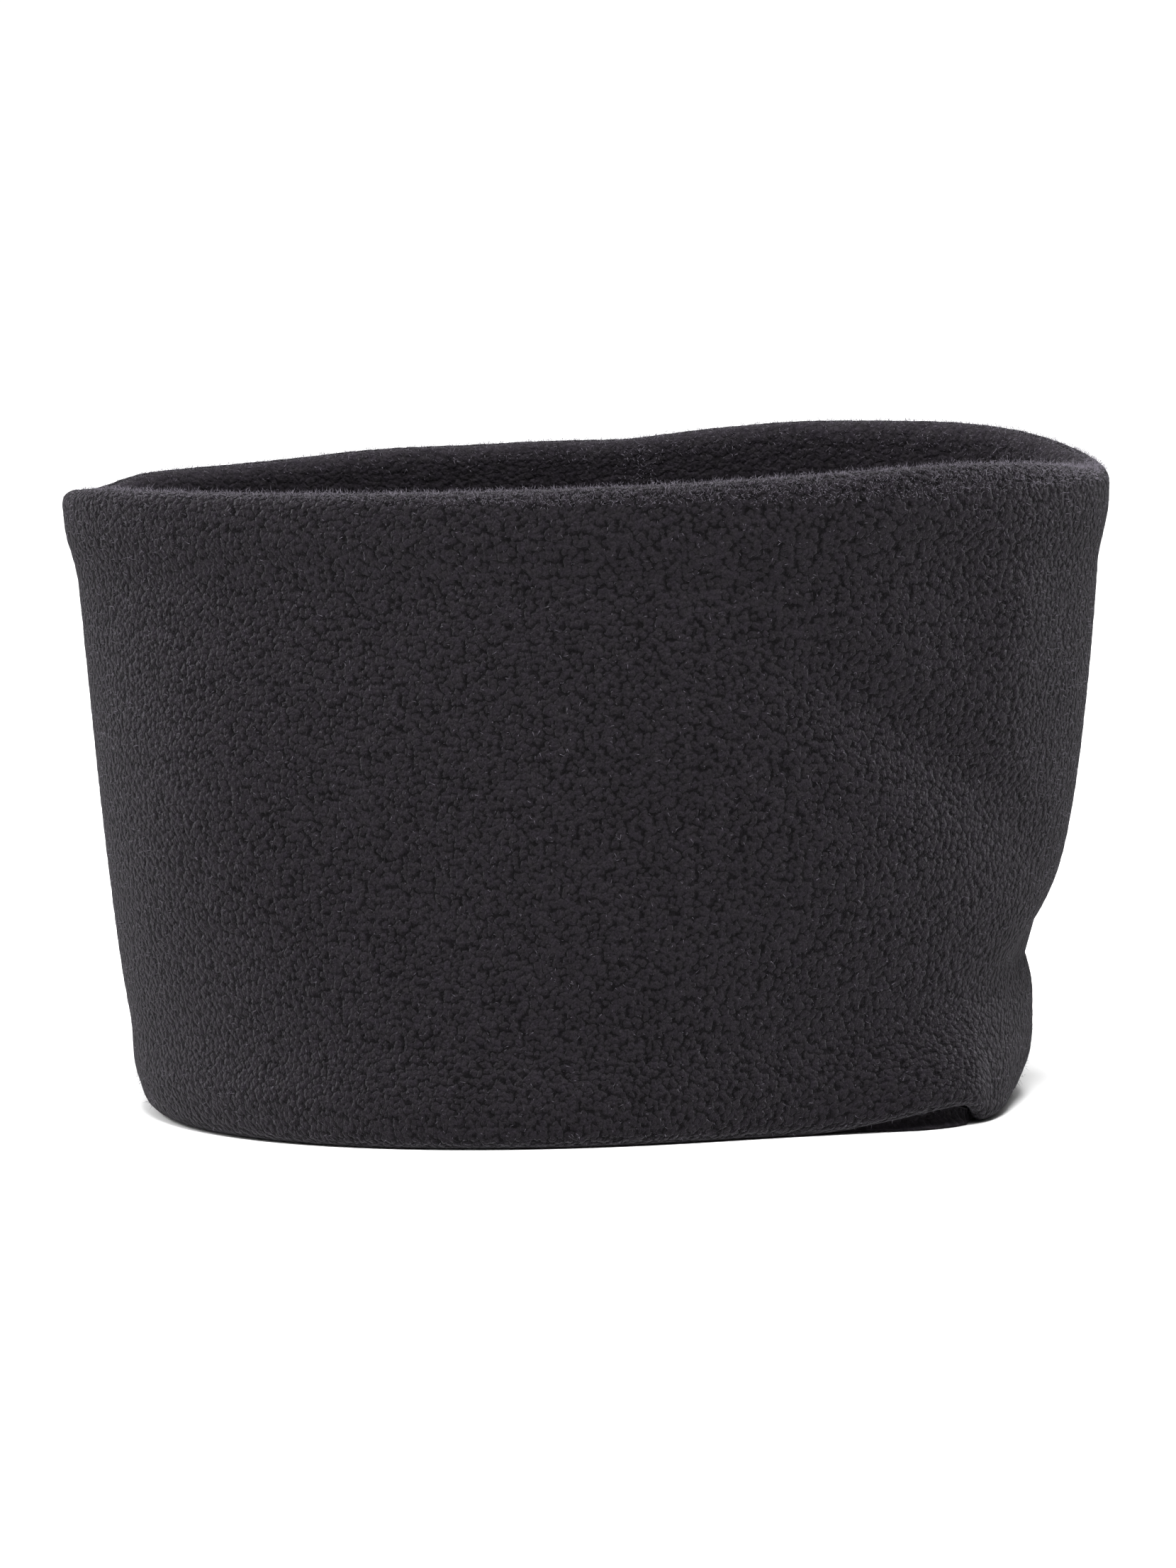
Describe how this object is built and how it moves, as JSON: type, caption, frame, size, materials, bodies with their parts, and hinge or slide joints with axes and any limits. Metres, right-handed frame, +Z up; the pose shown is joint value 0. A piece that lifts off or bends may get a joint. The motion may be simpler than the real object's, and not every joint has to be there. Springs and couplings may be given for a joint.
{
  "type": "neck gaiter",
  "caption": "Double-layer fleece tube worn round the neck, standing open on its lower rim, with soft turned rims and a hidden back seam.",
  "frame": {"origin": "middle of the object's outline at the level of the surface that the lower rim stands on", "axes": "+Z up through the tube; +X along the long side of the oval opening, towards its fuller end; -Y towards the front"},
  "size_m": [0.2553, 0.144, 0.1609],
  "materials": {
    "shell_fleece": "charcoal anti-pill fleece with a pebbled pile",
    "lining_fleece": "charcoal fleece, smoother pile",
    "sewing_thread": "polyester sewing thread",
    "label_satin": "woven satin, blank"
  },
  "bodies": {
    "root": {"outer_shell": "shell_fleece", "inner_lining": "lining_fleece", "shell_back_seam_thread": "sewing_thread", "lining_back_seam_thread": "sewing_thread", "top_rim_seam_thread": "sewing_thread", "bottom_rim_seam_thread": "sewing_thread", "closing_stitch_thread": "sewing_thread", "care_label": "label_satin"}
  },
  "joints": []
}
